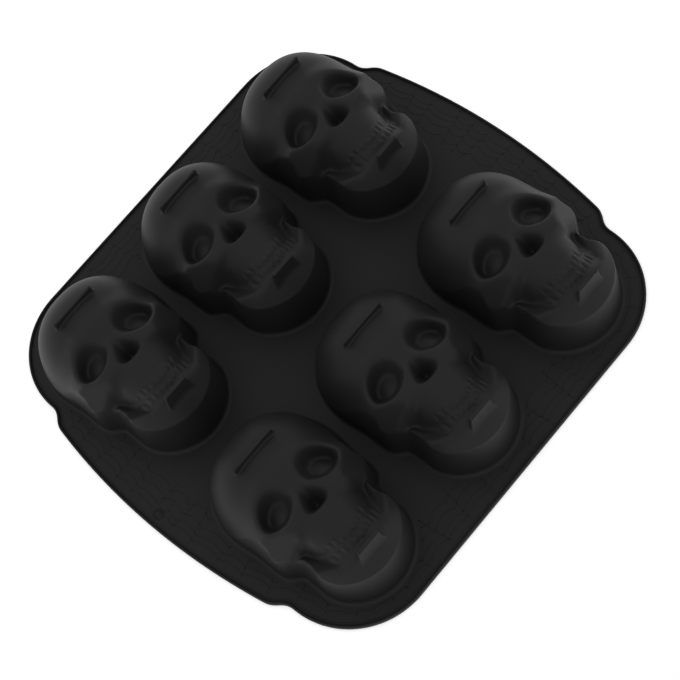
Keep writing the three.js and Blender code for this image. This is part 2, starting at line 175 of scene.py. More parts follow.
def inset(loop: np.ndarray, distance: float) -> np.ndarray:
    """Moves a closed counter-clockwise loop inwards.

    Args:
        loop: The loop's points.
        distance: How far each point moves, below 0 outwards.

    Returns:
        The moved points.
    """
    along = np.roll(loop, -1, axis=0) - np.roll(loop, 1, axis=0)
    normal = np.stack([-along[:, 1], along[:, 0]], -1)
    return loop + distance * normal / np.linalg.norm(normal, axis=1)[:, None]


def inside_loop(points: np.ndarray, loop: np.ndarray) -> np.ndarray:
    """Tells which points lie inside a closed loop.

    Args:
        points: Places to test.
        loop: Corners of the loop.

    Returns:
        True for each point inside.
    """
    within = np.zeros(len(points), bool)
    x, y = points[:, 0], points[:, 1]
    for a, b in zip(loop, np.roll(loop, -1, axis=0)):
        if a[1] != b[1]:
            crossing = a[0] + (y - a[1]) * (b[0] - a[0]) / (b[1] - a[1])
            within ^= ((a[1] > y) != (b[1] > y)) & (x < crossing)
    return within


def as_faces(numbers: np.ndarray | list[np.ndarray]) -> Faces:
    """Turns rows of vertex numbers into faces, one for each row."""
    return [tuple(int(number) for number in row) for row in numbers]


def ring_faces(first: np.ndarray, second: np.ndarray) -> Faces:
    """Joins two closed rows of vertices with quads that face outwards when the second row is the higher."""
    return as_faces(np.stack([first, np.roll(first, -1), np.roll(second, -1), second], -1))


@dataclass
class Form:
    """Points, faces and sharp rows of a mesh in the making."""

    points: list[np.ndarray] = field(default_factory=list)
    faces: Faces = field(default_factory=list)
    creases: list[np.ndarray] = field(default_factory=list)
    count: int = 0

    def add(self, flat: np.ndarray, z: np.ndarray | float) -> np.ndarray:
        """Adds points.

        Args:
            flat: Their places along X and Y.
            z: Their heights, or one height for all.

        Returns:
            Their numbers.
        """
        self.points.append(np.column_stack([flat, np.broadcast_to(z, len(flat))]))
        self.count += len(flat)
        return np.arange(self.count - len(flat), self.count)

    def mesh(self, name: str) -> bpy.types.Mesh:
        """Builds the mesh, smooth but for the edges within a sharp row.

        Args:
            name: Name of the mesh.

        Returns:
            The mesh, in metres.
        """
        mesh = bpy.data.meshes.new(name)
        mesh.from_pydata((np.vstack(self.points) * MM).tolist(), [], self.faces)
        mesh.shade_smooth()
        if self.creases:
            row = np.zeros(self.count, int)
            for number, crease in enumerate(self.creases, 1):
                row[crease] = number
            ends = np.zeros(len(mesh.edges) * 2, int)
            mesh.edges.foreach_get("vertices", ends)
            ends = row[ends.reshape(-1, 2)]
            sharp = mesh.attributes.new("sharp_edge", "BOOLEAN", "EDGE")
            sharp.data.foreach_set("value", (ends[:, 0] > 0) & (ends[:, 0] == ends[:, 1]))
        mesh.update()
        return mesh


class Region(Enum):
    """The mould's regions, each with the CAD node that it stands for."""

    SHEET = "flange"
    BEAD = "rim_bead"
    GATE = "gate_mark"
    CUP = "skull_cup_{}"
    BROW_RIB = "brow_foot_{}"
    CHIN_RIB = "chin_foot_{}"


def place(
    name: str,
    mesh: bpy.types.Mesh,
    material: bpy.types.Material,
    region: Region | None,
    number: int = 0,
    cell: tuple[float, float] = (0.0, 0.0),
) -> None:
    """Puts a piece on the mould and reports it.

    Args:
        name: Name of the piece.
        mesh: Its mesh.
        material: Its finish.
        region: The region that it replaces, or None where it adds to the sheet.
        number: Number of the cup that it belongs to.
        cell: Where its own origin lies, in millimetres.
    """
    piece = bpy.data.objects.new(name, mesh)
    bpy.context.scene.collection.objects.link(piece)
    piece.location = (cell[0] * MM, cell[1] * MM, 0)
    if not mesh.materials:
        mesh.materials.append(material)
    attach(piece, "root")
    if region is not None:
        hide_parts(region.value.format(number))
    log.info("%s: %d faces", name, len(mesh.polygons))


@dataclass(frozen=True)
class MouldedSilicone:
    """Platinum-cured silicone rubber, pressed in a blasted steel tool.

    The tool's blasting leaves a satin skin that spreads reflections softly, and the rubber's charcoal
    pigment swallows most of the light. It draws a little dust, which greys the faces that lie flat.
    """

    name: str = "charcoal silicone, compression moulded"
    colour: str = "#222223"
    dusty_colour: str = "#2b2b2c"
    # silicone rubber has an index of about 1.41
    ior: float = 1.42
    roughness: tuple[float, float] = (0.46, 0.54)
    specular: float = 0.2
    # blasted grain is about 0.1 mm, drawn at 0.7 mm so that it shows at all
    grain_mm: float = 0.7
    grain_depth_mm: float = 0.004
    # flow marks of the pressed rubber, some 25 mm apart
    flow_mm: float = 25.0
    # how level a face lies where dust starts to settle, and the share that it may cover
    dust_start: float = 0.6
    dust_share: float = 0.5

    def build(self) -> bpy.types.Material:
        """Builds the material.

        Returns:
            The silicone's material.
        """
        material = bpy.data.materials.new(self.name)
        material.use_nodes = True
        tree = material.node_tree
        tree.nodes.clear()
        surface = add_node(tree, "ShaderNodeNewGeometry")
        position = {"Vector": surface.outputs["Position"]}
        grain = add_node(
            tree, "ShaderNodeTexNoise", {"Scale": 1 / (self.grain_mm * MM), "Detail": 2.0}, position
        )
        flow = add_node(
            tree, "ShaderNodeTexNoise", {"Scale": 1 / (self.flow_mm * MM), "Detail": 3.0}, position
        )
        # dust settles where the skin faces up, in soft patches
        facing = add_node(tree, "ShaderNodeSeparateXYZ", links={0: surface.outputs["Normal"]})
        level = add_node(
            tree,
            "ShaderNodeMapRange",
            {
                "interpolation_type": "SMOOTHSTEP",
                "From Min": self.dust_start,
                "From Max": 1.0,
                "To Max": self.dust_share,
            },
            {"Value": facing.outputs["Z"]},
        )
        dust = add_node(
            tree,
            "ShaderNodeMath",
            {"operation": "MULTIPLY"},
            {0: level.outputs[0], 1: flow.outputs[0]},
        )
        tint = add_node(
            tree,
            "ShaderNodeMix",
            {"data_type": "RGBA", 6: linear(self.colour), 7: linear(self.dusty_colour)},
            {0: dust.outputs[0]},
        )
        satin = add_node(
            tree,
            "ShaderNodeMapRange",
            {"To Min": self.roughness[0], "To Max": self.roughness[1]},
            {"Value": flow.outputs[0]},
        )
        bump = add_node(
            tree,
            "ShaderNodeBump",
            {"Strength": 1.0, "Distance": self.grain_depth_mm * MM},
            {"Height": grain.outputs[0]},
        )
        skin = add_node(
            tree,
            "ShaderNodeBsdfPrincipled",
            {"IOR": self.ior, "Specular IOR Level": self.specular},
            {"Base Color": tint.outputs[2], "Roughness": satin.outputs[0], "Normal": bump.outputs[0]},
        )
        add_node(tree, "ShaderNodeOutputMaterial", links={"Surface": skin.outputs[0]})
        return material


@dataclass(frozen=True)
class StudioPaper:
    """Seamless white paper, matt, which shows as the white background and keeps the mould's shadow."""

    name: str = "white paper, matt"
    colour: str = "#f3f3f3"
    glow_colour: str = "#ffffff"
    glow: float = 0.48

    def build(self) -> bpy.types.Material:
        """Builds the material.

        Returns:
            The paper's material.
        """
        material = bpy.data.materials.new(self.name)
        material.use_nodes = True
        tree = material.node_tree
        tree.nodes.clear()
        path = add_node(tree, "ShaderNodeLightPath")
        seen = add_node(
            tree,
            "ShaderNodeMath",
            {"operation": "MAXIMUM"},
            {0: path.outputs["Is Camera Ray"], 1: path.outputs["Is Glossy Ray"]},
        )
        either = add_node(
            tree,
            "ShaderNodeMath",
            {"operation": "MAXIMUM"},
            {0: seen.outputs[0], 1: path.outputs["Is Transmission Ray"]},
        )
        strength = add_node(
            tree, "ShaderNodeMath", {"operation": "MULTIPLY", 1: self.glow}, {0: either.outputs[0]}
        )
        light = add_node(
            tree,
            "ShaderNodeEmission",
            {"Color": linear(self.glow_colour)},
            {"Strength": strength.outputs[0]},
        )
        paper = add_node(tree, "ShaderNodeBsdfDiffuse", {"Color": linear(self.colour)})
        both = add_node(tree, "ShaderNodeAddShader", links={0: paper.outputs[0], 1: light.outputs[0]})
        add_node(tree, "ShaderNodeOutputMaterial", links={"Surface": both.outputs[0]})
        return material


@dataclass
class Footprint:
    """Outline of one skull where it stands on the sheet."""

    cranium_half: float = 37.8
    crown_y: float = 59.3
    cranium_y: float = 22.0
    temple_half: float = 36.2
    temple_y: float = 4.0
    cheek_half: float = 35.8
    cheek_y: float = -10.5
    jaw_half: float = 29.1
    jaw_angle_y: float = -22.0
    jaw_bend_y: float = -33.0
    chin_y: float = -59.7
    # share of each corner that the round crown and the round chin fill
    fullness: float = 0.61
    chin_fullness: float = 0.54
    # lengths of the curves' handles
    jaw_pull: float = 4.0
    notch_pull: float = 5.0
    cheek_pull_front: tuple[float, float] = (-1.0, -5.5)
    cheek_pull_back: tuple[float, float] = (0.8, 4.5)
    temple_pull_front: float = 4.0
    temple_pull_back: float = 6.0
    cranium_pull: float = 8.0
    curve_steps: int = 24
    measured_points: int = 360

    def loop(self, count: int) -> np.ndarray:
        """Draws the outline counter-clockwise from the chin.

        Args:
            count: Number of points.

        Returns:
            The points, evenly spaced.
        """
        jaw, cheek, temple, cranium = self.jaw_half, self.cheek_half, self.temple_half, self.cranium_half
        chin = (self.chin_fullness * jaw, self.chin_fullness * (self.jaw_bend_y - self.chin_y))
        crown = (self.fullness * cranium, self.fullness * (self.crown_y - self.cranium_y))
        front, back = self.cheek_pull_front, self.cheek_pull_back
        knots = [
            (0, self.chin_y),
            (chin[0], self.chin_y),
            (jaw, self.jaw_bend_y - chin[1]),
            (jaw, self.jaw_bend_y),
            (jaw, self.jaw_bend_y + self.jaw_pull),
            (jaw, self.jaw_angle_y - self.jaw_pull),
            (jaw, self.jaw_angle_y),
            (jaw, self.jaw_angle_y + self.notch_pull),
            (cheek + front[0], self.cheek_y + front[1]),
            (cheek, self.cheek_y),
            (cheek + back[0], self.cheek_y + back[1]),
            (temple, self.temple_y - self.temple_pull_front),
            (temple, self.temple_y),
            (temple, self.temple_y + self.temple_pull_back),
            (cranium, self.cranium_y - self.cranium_pull),
            (cranium, self.cranium_y),
            (cranium, self.cranium_y + crown[1]),
            (crown[0], self.crown_y),
            (0, self.crown_y),
        ]
        right = [np.array([knots[0]], float)]
        right += [bezier(knots[i : i + 4], self.curve_steps) for i in range(0, len(knots) - 1, 3)]
        half = np.vstack(right)
        return even_points(np.vstack([half, half[1:-1][::-1] * [-1, 1]]), count)

    def depth(self, x: np.ndarray, y: np.ndarray) -> np.ndarray:
        """Measures how far points lie inside the outline.

        Args:
            x: Places across the skull.
            y: Places along the skull.

        Returns:
            Distances to the outline, below 0 outside it.
        """
        corners = self.loop(self.measured_points)
        px, py = np.abs(np.ravel(x)), np.ravel(y)
        nearest = np.full(px.shape, np.inf)
        within = np.zeros(px.shape, bool)
        for a, b in zip(corners, np.roll(corners, -1, axis=0)):
            # the outline is the same on both sides, so its left half isn't needed
            if max(a[0], b[0]) < -1:
                continue
            run = b - a
            t = np.clip(((px - a[0]) * run[0] + (py - a[1]) * run[1]) / (run @ run), 0, 1)
            nearest = np.minimum(nearest, (px - a[0] - t * run[0]) ** 2 + (py - a[1] - t * run[1]) ** 2)
            if a[1] != b[1]:
                crossing = a[0] + (py - a[1]) * run[0] / run[1]
                within ^= ((a[1] > py) != (b[1] > py)) & (px < crossing)
        return (np.sqrt(nearest) * np.where(within, 1, -1)).reshape(np.shape(x))


@dataclass
class Teeth:
    """Two rows of small worn teeth across the muzzle, each tooth a little different."""

    seed: int = 7
    upper_y: float = -35.8
    upper_bend: float = 0.04
    lower_y: float = -45.2
    lower_bend: float = 0.0165
    reach_x: float = 18.0
    width: float = 4.0
    # share of the width that the narrowest tooth has, and what chance may add to it
    narrowest: float = 0.85
    spread: float = 0.3
    # how much narrower the teeth get for each millimetre from the middle
    narrowing: float = 0.016
    # the line between the rows lies a little above their middle and wavers
    mouth_share: float = 0.52
    waver: float = 0.25
    waver_turn: float = 1.3
    gap: float = 0.4
    unevenness: float = 0.5
    relief: float = 1.25
    wear: float = 0.3
    fullness: float = 0.42
    squareness: float = 2.2
    roundness: float = 0.8
    # the gums lie a little lower than the muzzle round them
    gum_depth: float = 0.4375
    last_tooth: Ramp = Ramp(19.5, 16.0)
    gum_side: Ramp = Ramp(20.0, 16.0)
    gum_front: Ramp = Ramp(-47.0, -44.0)
    gum_back: Ramp = Ramp(-29.0, -32.0)

    def height(self, x: np.ndarray, y: np.ndarray) -> np.ndarray:
        """Gives what teeth and gums add to the relief.

        Args:
            x: Places across the skull.
            y: Places along the skull.

        Returns:
            Heights, below 0 between the teeth and 0 away from them.
        """
        rng = np.random.default_rng(self.seed)
        top = self.upper_y + self.upper_bend * x * x
        low = self.lower_y + self.lower_bend * x * x
        mouth = self.mouth_share * top + (1 - self.mouth_share) * low
        mouth = mouth + self.waver * np.sin(x * self.waver_turn)
        out = np.zeros_like(x)
        for side in (-1, 1):
            for edge, gap in ((top, self.gap), (low, -self.gap)):
                start = 0.0
                while start < self.reach_x:
                    share = self.narrowest + self.spread * rng.random()
                    wide = self.width * share * (1 - self.narrowing * start)
                    centre = side * (start + wide / 2)
                    end = edge + rng.uniform(-self.unevenness, self.unevenness)
                    inner = mouth + gap
                    middle, half = (end + inner) / 2, np.abs(end - inner) * self.fullness
                    q = (np.abs(x - centre) / (wide / 2)) ** self.squareness
                    q += (np.abs(y - middle) / half) ** self.squareness
                    crown = 1 - self.wear + self.wear * rng.random()
                    out = np.maximum(out, crown * np.clip(1 - q, 0, 1) ** self.roundness)
                    start += wide
        ax = np.abs(x)
        teeth = self.relief * out * self.last_tooth.at(ax)
        return (teeth - self.gum_depth) * self.gum_front.at(y) * self.gum_back.at(y) * self.gum_side.at(ax)


@dataclass
class Raster:
    """Heights on an even raster, read back as a smooth surface."""

    cell: float = 0.5
    reach_x: float = 44.0
    reach_y: float = 66.0
    values: np.ndarray = field(default_factory=lambda: np.zeros((1, 1)))

    def places(self) -> tuple[np.ndarray, np.ndarray]:
        """Gives the raster's points.

        Returns:
            Their places across and along the skull.
        """
        xs = np.arange(-self.reach_x, self.reach_x + self.cell, self.cell)
        ys = np.arange(-self.reach_y, self.reach_y + self.cell, self.cell)
        x, y = np.meshgrid(xs, ys, indexing="ij")
        return x, y

    def soften(self, passes: int) -> None:
        """Averages each point with its neighbours.

        Args:
            passes: How often this is done.
        """
        for _ in range(passes):
            for axis in (0, 1):
                before, after = np.roll(self.values, 1, axis), np.roll(self.values, -1, axis)
                self.values = (before + 2 * self.values + after) / 4

    def at(self, x: np.ndarray, y: np.ndarray) -> np.ndarray:
        """Reads the height at any place from the sixteen points round it.

        Args:
            x: Places across the skull.
            y: Places along the skull.

        Returns:
            Heights, smooth up to their curvature.
        """
        i, j = (x + self.reach_x) / self.cell, (y + self.reach_y) / self.cell
        a, b = np.floor(i).astype(int), np.floor(j).astype(int)
        out = np.zeros_like(x)
        across, along = self._weights(i - a), self._weights(j - b)
        for m, wx in enumerate(across, -1):
            for n, wy in enumerate(along, -1):
                out += wx * wy * self.values[a + m, b + n]
        return out

    def _weights(self, t: np.ndarray) -> list[np.ndarray]:
        """Gives the cubic spline weights of the four points round a place.

        Args:
            t: How far the place lies past the second point, as a share of a cell.

        Returns:
            One array of weights for each of the four points.
        """
        return [
            (1 - t) ** 3 / 6,
            (3 * t**3 - 6 * t**2 + 4) / 6,
            (-3 * t**3 + 3 * t**2 + 3 * t + 1) / 6,
            t**3 / 6,
        ]


@dataclass
class BrainCase:
    """Rounded brain case."""

    top: float = 47.4
    foot: float = -3.6
    centre_y: float = 16.7
    across: float = 38.4
    back: float = 41.8
    front: float = 45.0
    plan_power: float = 2.3
    side_power: float = 2.6

    def height(self, x: np.ndarray, y: np.ndarray) -> np.ndarray:
        """Gives the brain case's height.

        Args:
            x: Places across the skull.
            y: Places along the skull.

        Returns:
            Heights above the sheet.
        """
        power = self.plan_power
        along = np.abs(y - self.centre_y) / np.where(y > self.centre_y, self.back, self.front)
        reach = ((np.abs(x) / self.across) ** power + along**power) ** (1 / power)
        return self.foot + (self.top - self.foot) * np.maximum(1 - reach**self.side_power, 0) ** 0.5


@dataclass
class Face:
    """Face from the brow to the upper teeth: bridge of the nose, cheekbones and muzzle."""

    brow: float = 48.4
    forehead_y: float = 16.0
    forehead_slope: float = 0.9
    forehead_round: float = 6.0
    bridge_y: float = -1.0
    bridge_reach: float = 8.0
    bridge_dip: float = 1.2
    nose_fall: Ramp = Ramp(-16.0, -33.0, 3.0)
    jaw_fall: Ramp = Ramp(-33.0, -48.0, 2.0)
    # the muzzle drops to its sides in a round, which is flatter at the chin
    muzzle_half: float = 17.0
    muzzle_drop: float = 13.5
    muzzle_power: float = 2.2
    muzzle_flare: float = 0.25
    flare_y: float = -31.0
    chin_relief: Ramp = Ramp(-36.0, -52.0, 0.75)
    # the cheekbones drop less, and more towards the temples
    cheek_share: Ramp = Ramp(-21.5, -16.5)
    cheek_half: float = 30.0
    cheek_drop: float = 8.0
    cheek_power: float = 3.0
    temple_drop: Ramp = Ramp(-8.0, 14.0, 9.0)
    # the hollow between cheekbone, muzzle and jaw
    hollow_floor: float = 21.0
    hollow_corner: tuple[float, float] = (22.0, -18.4)
    hollow_turn: float = 18.0
    hollow_start: float = -2.0
    cheek_rise: float = 8.0
    muzzle_foot: float = 21.5
    muzzle_rise: float = 3.5
    hollow_end: Ramp = Ramp(-34.0, -46.0, 40.0)
    hollow_round: float = 3.0
    # the cheekbone's facet, which falls from the brow's corner to the cheek's tip
    tip: tuple[float, float] = (34.7, -13.5)
    tip_height: float = 24.0
    facet_slope: float = 1.6
    facet_lean: tuple[float, float] = (0.95, 0.5)
    facet_end: Ramp = Ramp(-18.0, -30.0, 60.0)
    facet_round: float = 2.0
    # the low ridges over the eyes
    ridge: float = 0.6
    ridge_centre: tuple[float, float] = (11.5, 13.2)
    ridge_half: tuple[float, float] = (13.0, 7.0)
    ridge_lean: float = 0.12

    def height(self, x: np.ndarray, y: np.ndarray) -> np.ndarray:
        """Gives the face's height without eye sockets, nose opening and brow ridges.

        Args:
            x: Places across the skull.
            y: Places along the skull.

        Returns:
            Heights above the sheet.
        """
        ax = np.abs(x)
        block = soft_min(self.profile(y) - self.flanks(ax, y), self.hollow(ax, y), self.hollow_round)
        return soft_min(block, self.facet(ax, y), self.facet_round)

    def profile(self, y: np.ndarray) -> np.ndarray:
        """Gives the height along the middle line.

        Args:
            y: Places along the skull.

        Returns:
            Heights above the sheet.
        """
        level = self.brow - self.bridge_dip * swell((y - self.bridge_y) / self.bridge_reach)
        level = level - self.nose_fall.at(y) - self.jaw_fall.at(y)
        return soft_min(level, self.brow - self.forehead_slope * (y - self.forehead_y), self.forehead_round)

    def flanks(self, ax: np.ndarray, y: np.ndarray) -> np.ndarray:
        """Gives how far the face drops from its middle line to its sides.

        Args:
            ax: Distances from the middle line.
            y: Places along the skull.

        Returns:
            Drops, from 0 at the middle line on.
        """
        half = self.muzzle_half + self.muzzle_flare * np.maximum(y - self.flare_y, 0)
        muzzle = self.muzzle_drop * (1 - self.chin_relief.at(y)) * (ax / half) ** self.muzzle_power
        side = (self.cheek_drop + self.temple_drop.at(y)) * (ax / self.cheek_half) ** self.cheek_power
        cheek = self.cheek_share.at(y)
        return muzzle * (1 - cheek) + side * cheek

    def hollow(self, ax: np.ndarray, y: np.ndarray) -> np.ndarray:
        """Gives the height of the hollow, which rises steeply to the cheekbone and to the muzzle.

        Args:
            ax: Distances from the middle line.
            y: Places along the skull.

        Returns:
            Heights above the sheet.
        """
        turn = math.radians(self.hollow_turn)
        past = (y - self.hollow_corner[1]) * math.cos(turn) - (ax - self.hollow_corner[0]) * math.sin(turn)
        to_cheek = self.cheek_rise * np.maximum(past - self.hollow_start, 0)
        to_muzzle = self.muzzle_rise * np.maximum(self.muzzle_foot - ax, 0)
        return self.hollow_floor + to_cheek + to_muzzle + self.hollow_end.at(y)

    def facet(self, ax: np.ndarray, y: np.ndarray) -> np.ndarray:
        """Gives the height of the cheekbone's facet.

        Args:
            ax: Distances from the middle line.
            y: Places along the skull.

        Returns:
            Heights above the sheet.
        """
        inward = self.facet_lean[0] * (self.tip[0] - ax) + self.facet_lean[1] * (y - self.tip[1])
        return self.tip_height + self.facet_slope * inward + self.facet_end.at(y)

    def brow_ridge(self, x: np.ndarray, y: np.ndarray) -> np.ndarray:
        """Gives what the ridges over the eyes add.

        Args:
            x: Places across the skull.
            y: Places along the skull.

        Returns:
            Heights, 0 away from the ridges.
        """
        dx = np.abs(x) - self.ridge_centre[0]
        dy = y - self.ridge_centre[1] + self.ridge_lean * dx
        return self.ridge * swell(np.hypot(dx / self.ridge_half[0], dy / self.ridge_half[1]))


@dataclass
class Jaw:
    """Lower jaw and chin, the slope round their edge, and the groove under the upper teeth."""

    angle_height: float = 27.5
    chin_rise: Ramp = Ramp(-24.0, -50.0, 12.0)
    end: Ramp = Ramp(-20.5, -17.5, 48.4)
    edge_height: float = 30.4
    edge_inset: float = 1.5
    edge_slope: float = 1.4
    edge_end: Ramp = Ramp(-24.0, -14.0, 60.0)
    groove_start: tuple[float, float] = (23.4, -19.3)
    groove_stop: tuple[float, float] = (17.2, -32.0)
    groove_depth: float = 2.0
    groove_half: float = 1.5
    groove_fade: float = 2.0
    groove_run_out: tuple[float, float] = (3.0, -5.0)

    def height(self, y: np.ndarray) -> np.ndarray:
        """Gives the jaw's height, which rises from its angle to the chin."""
        return self.angle_height + self.chin_rise.at(y) - self.end.at(y)

    def edge(self, y: np.ndarray, depth: np.ndarray) -> np.ndarray:
        """Gives the height of the slope that falls to the top of the side wall."""
        return self.edge_height + self.edge_slope * (depth - self.edge_inset) + self.edge_end.at(y)

    def groove(self, x: np.ndarray, y: np.ndarray) -> np.ndarray:
        """Gives the depth of the groove between the upper jaw and the lower one.

        Args:
            x: Places across the skull.
            y: Places along the skull.

        Returns:
            Depths, 0 away from the groove.
        """
        start, stop = np.array(self.groove_start), np.array(self.groove_stop)
        length = np.linalg.norm(stop - start)
        ux, uy = (stop - start) / length
        dx, dy = np.abs(x) - start[0], y - start[1]
        along, across = dx * ux + dy * uy, dx * uy - dy * ux
        fade_in = Ramp(-self.groove_fade, self.groove_fade)
        fade_out = Ramp(length + self.groove_run_out[0], length + self.groove_run_out[1])
        cut = self.groove_depth * np.exp(-((across / self.groove_half) ** 2))
        return cut * fade_in.at(along) * fade_out.at(along)


@dataclass
class EyeSocket:
    """Eye socket: a soft bowl whose floor swells up again, deepest outside and above."""

    centre: tuple[float, float] = (16.2, -0.8)
    half: tuple[float, float] = (11.4, 10.4)
    tilt: float = -22.0
    edge: Ramp = Ramp(0.5, 1.06)
    bowl: float = 11.4
    # the bowl gets deeper by the slant over its reach, in a direction turned outwards from the crown's
    slant: float = 1.6
    slant_reach: float = 10.0
    slant_turn: float = 34.0
    floor: float = 3.2
    floor_centre: tuple[float, float] = (-0.6, -1.6)
    floor_half: tuple[float, float] = (12.5, 11.5)

    def depth(self, x: np.ndarray, y: np.ndarray) -> np.ndarray:
        """Gives the depth of both sockets.

        Args:
            x: Places across the skull.
            y: Places along the skull.

        Returns:
            Depths, a little below 0 just round the rims.
        """
        dx, dy = np.abs(x) - self.centre[0], y - self.centre[1]
        turn, tilt = math.radians(self.slant_turn), math.radians(self.tilt)
        lean = (dx * math.sin(turn) + dy * math.cos(turn)) / self.slant_reach
        sx = dx * math.cos(tilt) + dy * math.sin(tilt)
        sy = dy * math.cos(tilt) - dx * math.sin(tilt)
        open_share = 1 - self.edge.at(np.hypot(sx / self.half[0], sy / self.half[1]))
        fx = (sx - self.floor_centre[0]) / self.floor_half[0]
        fy = (sy - self.floor_centre[1]) / self.floor_half[1]
        return (self.bowl + self.slant * lean) * open_share - self.floor * swell(np.hypot(fx, fy))


@dataclass
class NoseOpening:
    """Nose opening, pointed above and round below, with a low rim on each side."""

    apex_y: float = -1.4
    base_y: float = -18.4
    half: float = 9.2
    depth: float = 16.5
    apex_round: float = 2.2
    corner_round: float = 3.5
    base_bend: float = 0.03
    side: Ramp = Ramp(1.7, -6.0)
    rim: float = 0.6
    rim_offset: float = 2.4
    rim_half: float = 1.8
    rim_above: Ramp = Ramp(3.0, -4.0)
    rim_below: Ramp = Ramp(-19.0, -12.0)

    def height(self, x: np.ndarray, y: np.ndarray) -> np.ndarray:
        """Gives what the opening and its rims add to the relief.

        Args:
            x: Places across the skull.
            y: Places along the skull.

        Returns:
            Heights, below 0 in the opening.
        """
        tall = self.apex_y - self.base_y
        flank = np.hypot(x, self.apex_round) * tall + (y - self.apex_y) * self.half
        flank = flank / math.hypot(tall, self.half)
        base = self.base_y - y + self.base_bend * x * x
        share = self.side.at(soft_max(flank, base, self.corner_round))
        rim = self.rim * np.exp(-(((flank - self.rim_offset) / self.rim_half) ** 2))
        return rim * self.rim_above.at(y) * self.rim_below.at(y) - self.depth * share


@dataclass
class SideWall:
    """Side wall: upright at chin and crown, with a ledge at the temple and a slope along the jaw."""

    steepness: float = 22.0
    ledge_height: float = 13.0
    ledge_slope: float = 7.0
    ledge_round: float = 3.0
    temple_front: Ramp = Ramp(-13.0, -6.0)
    temple_back: Ramp = Ramp(30.0, 8.0)
    jaw_back: Ramp = Ramp(-15.0, -22.0)
    jaw_front: Ramp = Ramp(-27.0, -47.0)
    jaw_foot: float = 1.5
    jaw_slope: float = 7.0
    jaw_round: float = 2.0
    # width over which the wall rounds into the relief, and how much less or more it is in places
    top_round: float = 3.0
    temple_less: float = 2.0
    chin_less: float = 1.0
    jaw_more: float = 2.0

    def at(self, y: np.ndarray, depth: np.ndarray) -> tuple[np.ndarray, np.ndarray]:
        """Shapes the wall.

        Args:
            y: Places along the skull.
            depth: How far these places lie inside the footprint.

        Returns:
            Heights of the wall, and the width over which it rounds into the relief.
        """
        steep = self.steepness * depth
        ledge = self.ledge_height + self.ledge_slope * (depth - self.ledge_height / self.steepness)
        temple = self.temple_front.at(y) * self.temple_back.at(y)
        chin = self.jaw_front.at(y)
        jaw = self.jaw_back.at(y) * (1 - chin)
        slope = soft_min(self.jaw_foot + self.jaw_slope * depth, steep, self.jaw_round)
        wall = steep + (soft_min(ledge, steep, self.ledge_round) - steep) * temple + (slope - steep) * jaw
        return wall, self.top_round - self.temple_less * temple - self.chin_less * chin + self.jaw_more * jaw


@dataclass
class SkullRelief:
    """Heights of one skull above the sheet, put together from its parts."""

    footprint: Footprint = field(default_factory=Footprint)
    brain_case: BrainCase = field(default_factory=BrainCase)
    face: Face = field(default_factory=Face)
    jaw: Jaw = field(default_factory=Jaw)
    socket: EyeSocket = field(default_factory=EyeSocket)
    nose: NoseOpening = field(default_factory=NoseOpening)
    teeth: Teeth = field(default_factory=Teeth)
    wall: SideWall = field(default_factory=SideWall)
    blend: float = 4.0
    edge_round: float = 2.0
    # rounds every edge by about 1 mm, as the mould maker's polishing does
    polish: int = 7

    def __post_init__(self) -> None:
        """Shapes the relief on a raster and polishes it."""
        self.polished = Raster()
        x, y = self.polished.places()
        self.polished.values = self.surface(x, y)
        self.polished.soften(self.polish)

    def surface(self, x: np.ndarray, y: np.ndarray) -> np.ndarray:
        """Gives the skull's relief before the side wall cuts it, without the teeth.

        Args:
            x: Places across the skull.
            y: Places along the skull.

        Returns:
            Heights above the sheet.
        """
        block = soft_max(self.face.height(x, y), self.jaw.height(y), self.blend)
        block = soft_min(block, self.jaw.edge(y, self.footprint.depth(x, y)), self.edge_round)
        skull = soft_max(self.brain_case.height(x, y), block, self.blend)
        skull = skull - self.jaw.groove(x, y) - self.socket.depth(x, y)
        return skull + self.face.brow_ridge(x, y) + self.nose.height(x, y)

    def height(self, x: np.ndarray, y: np.ndarray, depth: np.ndarray | None = None) -> np.ndarray:
        """Gives the heights of the cup's outside, without the teeth.

        Args:
            x: Places across the skull.
            y: Places along the skull.
            depth: How far these places lie inside the footprint, if that is known.

        Returns:
            Heights above the sheet.
        """
        depth = self.footprint.depth(x, y) if depth is None else depth
        wall, width = self.wall.at(y, depth)
        return np.maximum(soft_min(wall, self.polished.at(x, y), width), 0)


@dataclass
class InnerRelief:
    """Heights of the cup's inside, one wall thickness under the outside everywhere."""

    outside: SkullRelief
    thickness: float = 2.2
    polish: int = 2

    def __post_init__(self) -> None:
        """Rolls a ball of the wall's thickness under the relief."""
        self.rolled = Raster()
        cell, top = self.rolled.cell, self.outside.polished.values
        lowest = top - self.thickness
        steps = int(self.thickness / cell)
        for i in range(-steps, steps + 1):
            for j in range(-steps, steps + 1):
                rest = self.thickness**2 - (i * i + j * j) * cell**2
                if rest >= 0:
                    lowest = np.minimum(lowest, np.roll(top, (i, j), (0, 1)) - math.sqrt(rest))
        self.rolled.values = lowest
        self.rolled.soften(self.polish)

    def height(self, x: np.ndarray, y: np.ndarray) -> np.ndarray:
        """Gives the heights of the inside above the top of the sheet."""
        wall, width = self.outside.wall.at(y, self.outside.footprint.depth(x, y) - self.thickness)
        return soft_min(wall, self.rolled.at(x, y), width)


